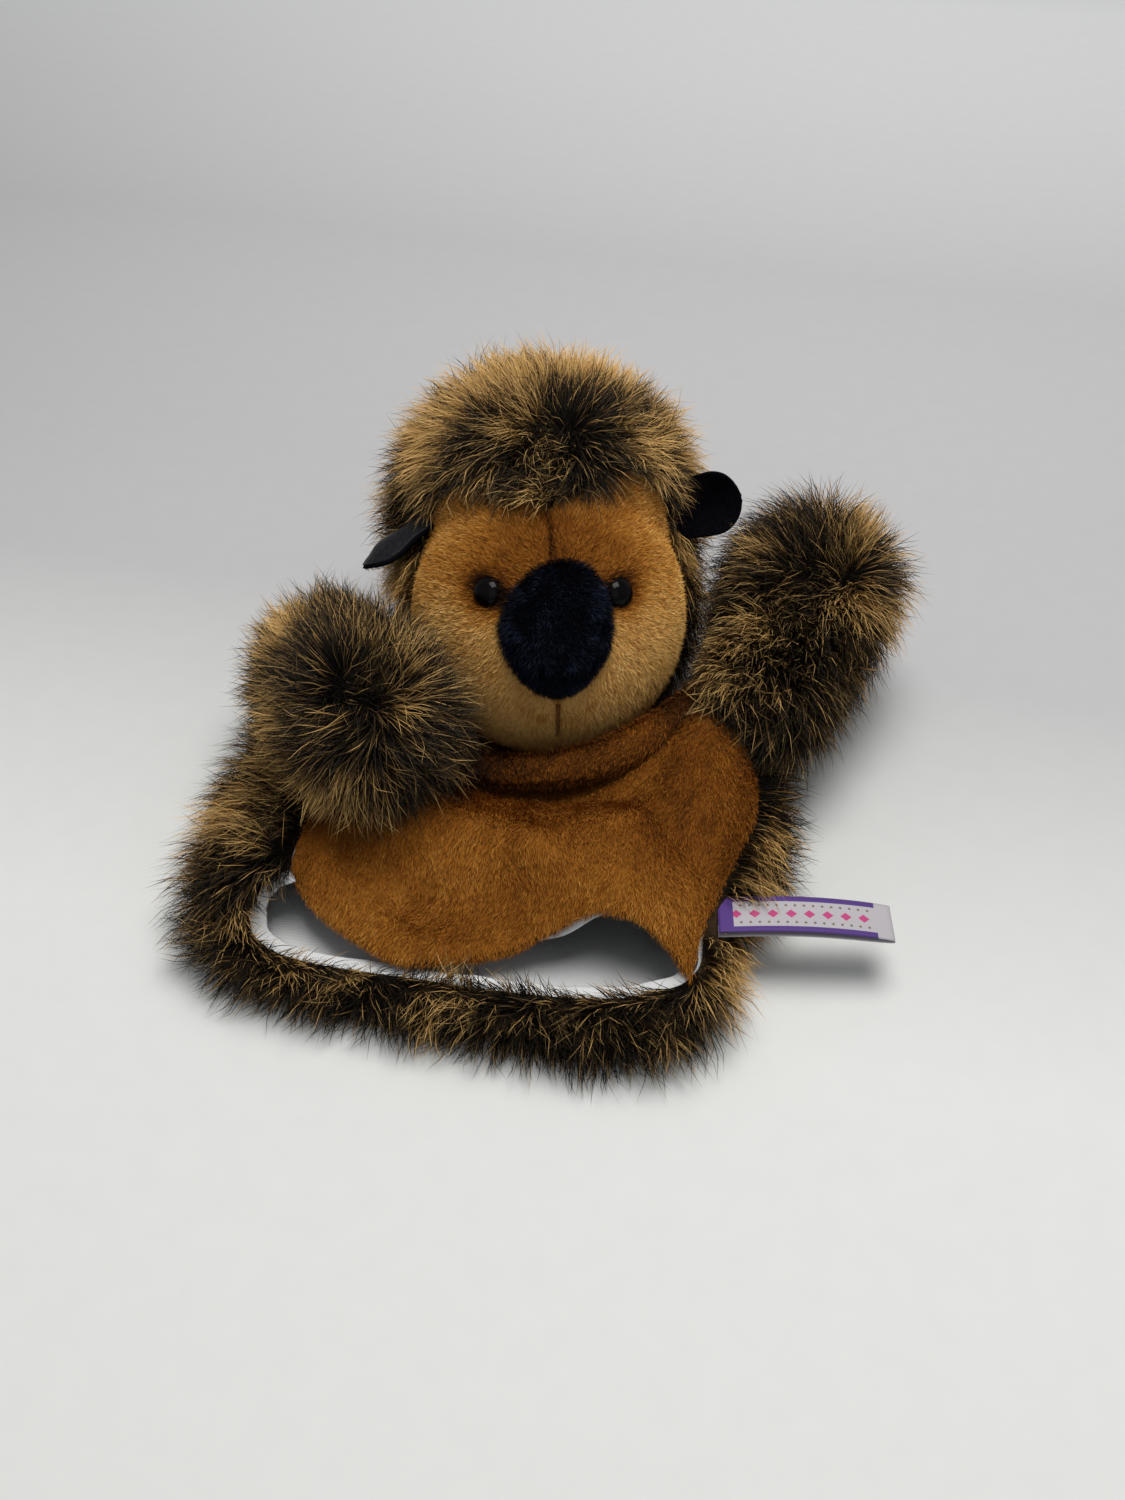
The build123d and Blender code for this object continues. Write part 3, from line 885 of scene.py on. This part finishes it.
WHORL_WAY = {"left": unit((0.05, -0.58, 0.80)), "right": unit((0.29, -0.56, 0.775))}


def clear_of_face(points):
    """Nothing where the face presses on a paw, one further out."""
    return smooth_step(gap_to(points, FACE) - FACE_RADIUS, 6, 32)


def make_pocket(name, body, path, radii):
    """A lined finger pocket: a soft tube along a path, closed at its far end. The neck tube is closed too,
    though a finger should pass through it."""
    rows, columns = 60, 28
    line = through(np.array(path, float), rows)
    radius = through(np.array(radii, float)[:, None], rows)[:, 0]
    along = unit(np.gradient(line, axis=0))
    side = unit(np.cross(along, (0.0, 0.0, 1.0) if abs(along[0, 2]) < 0.9 else (0.0, 1.0, 0.0)))
    over = np.cross(side, along)
    close = np.sqrt(np.clip(1 - np.linspace(-6, 1, rows).clip(0, 1) ** 2, 0.0004, 1))
    radius = radius * close * (1 + 0.03 * noise(line, 7, 97))
    turn = np.linspace(0, 2 * math.pi, columns, endpoint=False)
    ring = side[:, None] * np.cos(turn)[None, :, None] + over[:, None] * np.sin(turn)[None, :, None] * 0.75
    grid = line[:, None] + ring * radius[:, None, None]
    pocket = new_piece(f"{name}_cloth", grid.reshape(-1, 3), grid_faces(rows, columns, closed=True), body,
                       "lining_twill")
    lay_out(pocket, rows, columns, *CUTS[name][:2])
    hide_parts(name)
    if name == "neck_tube":
        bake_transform(pocket)


def make_arm(name):
    base = joint_at(f"arm_{name}_lift")
    tip = base + arm_axis(name) * ARM_LENGTH[name] + ARM_SAG[name]
    length_all = np.linalg.norm(tip - base)
    axis = (tip - base) / length_all

    def distance(points):
        share = np.clip((points - base) @ axis / length_all, 0, 1)
        nearest = base + share[:, None] * (tip - base)
        radius = ARM_RADIUS + 1.5 * noise(points, 30, 71) - 4.5 * (1 - share) ** 1.5
        return gap_to(points, nearest) - radius

    whorl = tip + ARM_RADIUS * WHORL_WAY[name]
    inward = unit((FACE - tip) * (1, 1, 0))

    def comb(points, normals):
        along = -axis * 12 * (1 - bump(gap_to(points, whorl), 0, 30))[:, None]
        off_face = unit(points - FACE) * 60 * (1 - clear_of_face(points))[:, None]
        swirl = 11 * noise_way(points, 13, 72)
        return flat_on(points - whorl + along + off_face + swirl, normals)

    def shade(points):
        middle = bump(gap_to(points, whorl + 9 * inward), 0, 30)
        inner = np.clip((points - whorl) @ inward / ARM_RADIUS, -1.6, 1)
        outer = np.clip(-inner, 0, 1.4)
        return np.clip(fur_patches(points, 16) - 0.42 - 0.60 * middle - 0.25 * inner + 0.55 * outer, 0, 1)

    def length(points):
        return (0.72 + 0.23 * smooth_step(points[:, 2], 4, 30)) * (0.16 + 0.84 * clear_of_face(points))

    surface = star((base + tip) / 2, distance, 6)
    skin = new_piece(f"arm_skin_{name}", *surface, f"arm_{name}", "long_pile", shade(surface[0]))
    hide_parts(f"arm_sleeve_{name}", f"arm_stuffing_{name}")
    make_pocket(f"arm_pocket_{name}", f"arm_{name}", (base - 4 * axis, base + 15 * axis, tip - 8 * axis, tip),
                (14.0, 11.0, 10.0, 8.0))
    fur(f"arm_fur_{name}", surface, comb, LONG_FUR, f"arm_{name}", "long_pile", shade, 8 + len(name), length)


LABEL_OUT = unit(np.cross(joint_axis("label_flip"), (0, 0, 1)))
LABEL_OUT = LABEL_OUT * np.sign(LABEL_OUT[0])
LABEL_ROOT = joint_at("label_flip") - LABEL_INSET * LABEL_OUT


# Torso: nets of control points. Rows run from the hem to the neck, columns from the left seam to the right.

BELLY_NET = (
    ((-62, -64, 25), (-47, -75, 21), (-20, -85, 17), (-1, -81, 16), (19, -72, 19), (42, -61, 28),
     (58, -62, 29), (70, -66, 25), (78, -72, 19)),
    ((-62, -52, 30), (-47, -58, 30), (-22, -67, 24), (-2, -66, 23), (20, -57, 27), (42, -49, 36),
     (60, -48, 37), (72, -51, 31), (79, -51, 24)),
    ((-63, -28, 32), (-50, -33, 32), (-26, -42, 34), (0, -42, 33), (24, -36, 37), (46, -30, 42),
     (64, -28, 41), (78, -26, 36), (85, -24, 28)),
    ((-66, 0, 29), (-50, -8, 29), (-26, -16, 32), (0, -18, 31), (26, -14, 33), (50, -6, 41), (66, 0, 47),
     (79, 2, 42), (87, 2, 30)),
    ((-58, 20, 25), (-44, 14, 25), (-26, 6, 23), (0, 2, 21), (24, 6, 23), (46, 14, 37), (60, 20, 48),
     (69, 26, 45), (74, 30, 28)),
    ((-38, 42, 13), (-28, 34, 12), (-16, 28, 11), (0, 26, 11), (16, 28, 11), (28, 34, 12), (34, 40, 13),
     (38, 44, 13), (40, 48, 11)),
)
BACK_NET = (
    ((-62, -64, 25), (-68, -69, 23), (-72, -78, 17), (-66, -87, 13), (-48, -91, 12), (-10, -89, 12),
     (28, -86, 12), (54, -82, 13), (66, -78, 15), (74, -75, 17), (78, -72, 19)),
    ((-62, -60, 29), (-75, -65, 28), (-85, -77, 18), (-78, -94, 8), (-51, -100, 8), (-10, -100, 8),
     (32, -99, 8), (62, -96, 8), (77, -86, 11), (83, -74, 15), (80, -66, 21)),
    ((-62, -52, 30), (-76, -56, 30), (-89, -68, 17), (-80, -82, 5), (-50, -90, 4), (-10, -90, 4),
     (30, -90, 4), (60, -86, 4), (78, -74, 8), (85, -62, 15), (79, -51, 24)),
    ((-63, -28, 32), (-80, -34, 30), (-91, -42, 18), (-84, -54, 6), (-50, -60, 4), (-10, -60, 4),
     (30, -60, 4), (66, -54, 5), (82, -44, 9), (89, -34, 17), (85, -24, 28)),
    ((-66, 0, 29), (-80, 0, 28), (-90, -4, 18), (-80, -12, 6), (-50, -16, 4), (-10, -16, 4), (30, -16, 4),
     (66, -12, 5), (82, -6, 9), (89, -2, 17), (87, 2, 30)),
    ((-58, 20, 25), (-65, 24, 22), (-67, 28, 14), (-59, 30, 6), (-40, 32, 4), (-10, 34, 4), (26, 34, 4),
     (50, 32, 5), (64, 32, 8), (72, 32, 14), (74, 30, 28)),
    ((-38, 42, 13), (-40, 46, 11), (-40, 50, 8), (-34, 54, 5), (-24, 56, 4), (-4, 58, 4), (16, 57, 4),
     (28, 55, 5), (36, 52, 6), (40, 50, 8), (40, 48, 11)),
)
RIM = through(np.array(BACK_NET[0][1:10], float), 90)
BELLY_SIZE = (90, 110)
BACK_SIZE = (110, 170)


def back_shade(points):
    hem = smooth_step(points[:, 1], -60, -84) * smooth_step(points[:, 2], 3, 9)
    return np.clip(fur_patches(points, 16) - 0.30 - 0.28 * hem, 0, 1)


def back_comb(points, normals):
    """Outwards from below the neck, but inwards over the lining at the rim."""
    out = unit(np.stack([points[:, 0] * 0.9, points[:, 1] - 20, np.full(len(points), 2.0)], -1))
    inward = unit(np.array((0.0, -74.0, 20.0)) - points * (0.8, 1, 1)) * 2.6 * on_rim(points)[:, None]
    return flat_on(out + inward, normals)


def on_rim(points):
    """One on the edge of the back of the hem, where the pile leans over the lining."""
    gap = np.full(len(points), 99.0)
    for place in RIM:
        gap = np.minimum(gap, gap_to(points, place))
    return bump(gap, 0, 4.0)


def back_length(points):
    """Shorter at the rim of the hem, on the floor and round the label."""
    label = bump(gap_to(points, LABEL_ROOT), 0, 12)
    return (1 - 0.40 * on_rim(points)) * (0.7 + 0.3 * smooth_step(points[:, 2], 4, 16)) * (1 - 0.6 * label)


def back_weight(points):
    """No long pile where the puppet rests, and little round the label's sewn end."""
    under = (points[:, 2] < 6) & (points[:, 1] > -92)
    label = bump(gap_to(points, LABEL_ROOT), 0, 9)
    return np.where(under, 0.0, np.clip(1 - 1.6 * label, 0, 1))


def under_weight(points):
    return np.where((points[:, 2] < 6) & (points[:, 1] > -92), 1.0, 0.0)


def back_press(points):
    return 0.1 * on_rim(points)


def belly_shade(points):
    tone = 0.47 + 0.10 * noise(points * (1, 0.5, 1), 15, 81) + 0.06 * noise(points * (1, 0.4, 1), 3.0, 82)
    hem = smooth_step(points[:, 1], -56, -84)
    # Painted shade: darker on the right of the belly towards the chest, and a painted shadow of the left paw
    # near it.
    tone = tone - 0.13 * smooth_step(points[:, 0], 20, 60) * smooth_step(points[:, 1], -60, -30)
    deep = bump(gap_to(points[:, :2], (-24, -12)), 0, 24)
    return np.clip(tone + 0.06 * hem - 0.16 * deep, 0, 1)


def belly_comb(points, normals):
    drift = noise_way(points, 16, 83)
    return flat_on(np.array((0.15, -1.0, 0.0)) + 0.45 * drift, normals)


def make_back():
    rows, columns = BACK_SIZE
    points = patch(BACK_NET, rows, columns).reshape(-1, 3)
    middle = (rows // 2) * columns + columns // 2
    faces = face_towards(points, grid_faces(rows, columns), (0, 0, -1), middle)
    skin = new_piece("back_skin", points, faces, "torso", "long_pile", back_shade(points))
    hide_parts("back_panel")

    fur("back_fur", (points, faces), back_comb, LONG_FUR, "torso", "long_pile", back_shade, 15, back_length,
        back_weight, back_press)
    fur("back_fur_under", (points, faces), back_comb, PRESSED_FUR, "torso", "long_pile", back_shade, 16,
        weight=under_weight)


HEM_TURN = (0.0, 3.5, -4.0)         # the edge of the belly turns under by this much
BELLY_FOLDS = (                     # height, width, and the two ends of each fold
    (-5.0, 9, (-44, -52), (-16, -66)), (-4.0, 9, (-16, -66), (14, -66)), (4.5, 10, (-22, -36), (20, -46)),
    (4.0, 9, (20, -46), (56, -60)), (-4.0, 8, (48, -14), (74, -38)), (-4.0, 10, (-20, -16), (40, -14)),
)


def fold_belly(flat):
    """Adds the soft folds of the belly to its points."""
    folds = 1.2 * noise(flat * (1, 0.55, 0), 24, 86) + 0.6 * noise(flat * (1, 1, 0), 8, 87)
    for height, width, start, end in BELLY_FOLDS:
        start, end = np.array(start, float), np.array(end, float)
        share = np.clip((flat[:, :2] - start) @ (end - start) / np.sum((end - start) ** 2), 0, 1)
        gap = np.linalg.norm(flat[:, :2] - start - share[:, None] * (end - start), axis=1)
        folds = folds + height * bump(gap, 0, width)
    folds = folds * smooth_step(flat[:, 1], -92, -74)
    return flat + np.array((0.0, 0.0, 1.0)) * folds[:, None]


def make_belly():
    rows, columns = BELLY_SIZE
    net = np.array(BELLY_NET, float)
    points = fold_belly(patch(np.concatenate([net[:1] + HEM_TURN, net]), rows, columns).reshape(-1, 3))
    middle = (rows // 2) * columns + columns // 2
    faces = face_towards(points, grid_faces(rows, columns), (0, 0, 1), middle)
    skin = new_piece("belly_skin", points, faces, "torso", "golden_plush", belly_shade(points))
    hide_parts("belly_panel")
    fur("belly_plush", (points, faces), belly_comb, BELLY_PLUSH, "torso", "golden_plush", belly_shade, 17)


ROLL_TURN = (215.0, 352.0)
ROLL_OUT = 66.0


def roll_shade(points):
    """Darker than the belly, most towards the left paw, in place of the chin's shadow."""
    return np.clip(belly_shade(points) - 0.20 - 0.14 * smooth_step(-points[:, 0], -20, 20), 0, 1)


def make_chest_roll():
    rows, columns = 120, 36
    turn = np.radians(np.linspace(*ROLL_TURN, rows))[:, None]
    round_it = np.linspace(0, 2 * math.pi, columns, endpoint=False)[None, :]
    share = np.linspace(0, 1, rows)[:, None]
    fat = 5.6 * np.sqrt(np.maximum(1 - np.abs(2 * share - 1) ** 5, 0.02)) + 0.8 * np.sin(9 * share + 1)
    out = ROLL_OUT + fat * np.cos(round_it) * 1.1
    points = np.stack([NECK[0] + out * np.cos(turn), NECK[1] + out * np.sin(turn),
                       26 + 22 * share + fat * np.sin(round_it)], -1).reshape(-1, 3)
    faces = face_towards(points, grid_faces(rows, columns, closed=True), (0, -1, 0), (rows // 2) * columns)
    skin = new_piece("chest_roll_skin", points, faces, "torso", "golden_plush", roll_shade(points))
    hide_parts("chest_roll")
    fur("chest_roll_plush", (points, faces), belly_comb, FACE_PLUSH, "torso", "golden_plush", roll_shade, 18)


def make_lining(band):
    """The two halves of the lining, a little inside the outer fabric."""
    rows, columns = 70, 120
    for name, net, under in (("lining_front", BELLY_NET, "lining_back_cloth"),
                             ("lining_back", BACK_NET, "back_skin")):
        points = patch(net, rows, columns).reshape(-1, 3)
        if name == "lining_front":
            points = fold_belly(points)
        faces = grid_faces(rows, columns)
        inward = normals_of(points, faces)
        middle = points.mean(axis=0) + (0, 0, -12 if name == "lining_front" else 12)
        if np.mean(np.sum(inward * (middle - points), axis=1)) < 0:
            faces, inward = faces[:, ::-1], -inward
        ripple = 0.5 * noise(points, 10, 91) + 0.5 * noise(points * (1, 0.5, 1), 6, 92)
        if name == "lining_front":
            slip = bump(points[:, 0], 37, 11) * smooth_step(-points[:, 1], 50, 62)
            points = points - slip[:, None] * (0, 3.5, 4.0)
        points = points + inward * (1.6 + ripple)[:, None]
        # Painted shadow: rows further in from the hem carry a shade that the twill darkens, in place of the
        # shadow inside the body.
        depth = smooth_step(np.repeat(np.linspace(0, 1, rows), columns), 0.38, 0.54)
        cloth = new_piece(f"{name}_cloth", points, faces, "torso", "lining_twill", depth)
        lay_out(cloth, rows, columns, *CUTS[name][:2])
        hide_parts(name)


def make_hem_band():
    """The turned edge of the lining, a narrow rounded band inside the rim of the hem."""
    rows, columns = 160, 12
    path = through(np.array(BACK_NET[0], float), rows)
    along = unit(np.gradient(path, axis=0))
    up = np.array((0.0, 0.0, 1.0))
    inward = unit(np.cross(along, up))
    if np.mean(inward[:, 1]) < 0:
        inward = -inward
    round_it = np.linspace(0, 2 * math.pi, columns, endpoint=False)[None, :, None]
    wobble = 0.8 * noise(path, 9, 95)[:, None, None]
    crease = 0.25 * noise(path, 4, 96)[:, None, None]
    centre = path + inward * 2.3 - up * 0.7
    grid = (centre[:, None] + inward[:, None] * (2.9 + wobble) * np.cos(round_it)
            + up * (0.6 + crease) * np.sin(round_it))
    band = new_piece("hem_band", grid.reshape(-1, 3), grid_faces(rows, columns, closed=True), "torso",
                     "lining_twill")
    lay_out(band, rows, columns, 12, 230)
    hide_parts("hem_facing")
    return band


# Label

def make_label():
    """A ribbon folded into a flat loop, with a slight curl. Its sewn end stays with the side seam."""
    across = unit(np.cross((0, 0, 1), LABEL_OUT))
    rows, columns = 110, 16
    whole = LABEL_LENGTH + LABEL_INSET
    run = np.linspace(0, 2 * whole, rows)
    on_top = run <= whole
    reach = np.where(on_top, run, 2 * whole - run)
    gap = 1.0 * np.sqrt(np.clip(1 - (reach / whole) ** 8, 0, 1))
    curl = 1.8 * np.sin(reach / whole * math.pi) - 1.4 * (reach / whole) ** 2
    height = curl + np.where(on_top, gap, -gap)
    side = np.linspace(0, LABEL_WIDTH, columns)
    points = (LABEL_ROOT + reach[:, None, None] * LABEL_OUT + (side - LABEL_WIDTH / 2)[None, :, None] * across
              + height[:, None, None] * np.array((0, 0, 1))).reshape(-1, 3)
    faces = grid_faces(rows, columns)
    label = new_piece("label_ribbon", points, faces, None, "woven_ribbon")
    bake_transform(label)
    lay_out(label, rows, columns, LABEL_WIDTH, 2 * whole)
    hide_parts("label_loop")
    thicken(label, 0.35)


# Stage

PAPER_STOPS = ((0.0, (0.66, 0.67, 0.65)), (0.21, (0.66, 0.67, 0.66)), (0.26, (0.57, 0.58, 0.57)),
               (0.31, (0.46, 0.46, 0.47)), (0.37, (0.46, 0.46, 0.47)), (0.50, (0.50, 0.50, 0.51)),
               (0.62, (0.68, 0.68, 0.69)), (0.80, (0.98, 0.98, 0.99)))


def make_stage():
    """A paper floor, painted lighter and darker from front to back in place of uneven light."""
    mesh = bpy.data.meshes.new("floor")
    size = 12.0
    corners = [(-size, -size, 0), (size, -size, 0), (size, size, 0), (-size, size, 0)]
    mesh.from_pydata(corners, [], [(0, 1, 2, 3)])
    floor = add_object("floor", mesh)
    material, tree, shader = make_material("paper", 0.9, specular=0.1)
    parts = tree.nodes.new("ShaderNodeSeparateXYZ")
    tree.links.new(object_place(tree), parts.inputs["Vector"])
    depth = tree.nodes.new("ShaderNodeMapRange")
    depth.inputs["From Min"].default_value = -0.5
    depth.inputs["From Max"].default_value = 1.5
    tree.links.new(parts.outputs["Y"], depth.inputs["Value"])
    paper = add_ramp(tree, depth.outputs["Result"], PAPER_STOPS)
    grain = add_noise(tree, object_place(tree), 90.0)
    specks = add_ramp(tree, grain, ((0.3, (0.98,) * 3), (0.7, (1.0,) * 3)))
    tree.links.new(add_mix(tree, 1.0, paper, specks, "MULTIPLY"), shader.inputs["Base Color"])
    mesh.materials.append(material)
    world = bpy.data.worlds.new("studio")
    world.use_nodes = True
    world.node_tree.nodes["Background"].inputs["Color"].default_value = (0.95, 0.98, 1.0, 1)
    world.node_tree.nodes["Background"].inputs["Strength"].default_value = 0.30
    bpy.context.scene.world = world
    bpy.context.scene.view_settings.view_transform = "Standard"


def add_light(name, place, aim, size, power, colour):
    data = bpy.data.lights.new(name, "AREA")
    data.shape = "SQUARE"
    data.size = size
    data.energy = power
    data.color = colour
    light = add_object(name, data)
    light.location = place
    way = Vector(aim) - Vector(place)
    light.rotation_euler = way.to_track_quat("-Z", "Y").to_euler()


def make_camera():
    """The camera stands in front of the hem, to its right, and looks down at 43 degrees."""
    azimuth, elevation, away = math.radians(14), math.radians(43), 0.497
    target = Vector((0.0173, 0.0, 0.040))
    back = Vector((math.sin(azimuth) * math.cos(elevation), -math.cos(azimuth) * math.cos(elevation),
                      math.sin(elevation)))
    data = bpy.data.cameras.new("camera")
    data.sensor_width = 36
    data.lens = 33.6
    data.clip_start = 0.01
    camera = add_object("camera", data)
    camera.location = target + back * away
    camera.rotation_euler = (-back).to_track_quat("-Z", "Y").to_euler()
    bpy.context.scene.camera = camera


make_camera()
make_stage()
add_light("overhead", (0.13, 0.12, 1.25), (0, 0, 0), 0.7, 15.5, (1.0, 0.98, 0.95))
add_light("front", (0.4, -1.0, 0.9), (0, 0, 0.05), 1.0, 1.5, (0.95, 0.97, 1.0))
make_head()
make_eyes()
make_nose()
for ear in EARS:
    make_ear(ear)
for arm in ARM_LENGTH:
    make_arm(arm)
make_back()
make_belly()
make_chest_roll()
make_lining(make_hem_band())
make_label()
dress_cad("washer_plastic", "eye_washer_left", "eye_washer_right")
dress_cad("brown_thread", "mouth_stitch", "shoulder_ring_left", "shoulder_ring_right")
make_pocket("neck_tube", None, NECK + ((0, -16, -2), (0, -8, -1), (0, -2, 6), (0, 0, 12)),
            (20.0, 17.0, 15.0, 14.0))
make_pocket("head_pocket", "head", NECK + ((0, 0, 3), (0, 2, 16), (-1, 5, 32), (-2, 8, 48)),
            (13.0, 12.0, 11.0, 9.0))
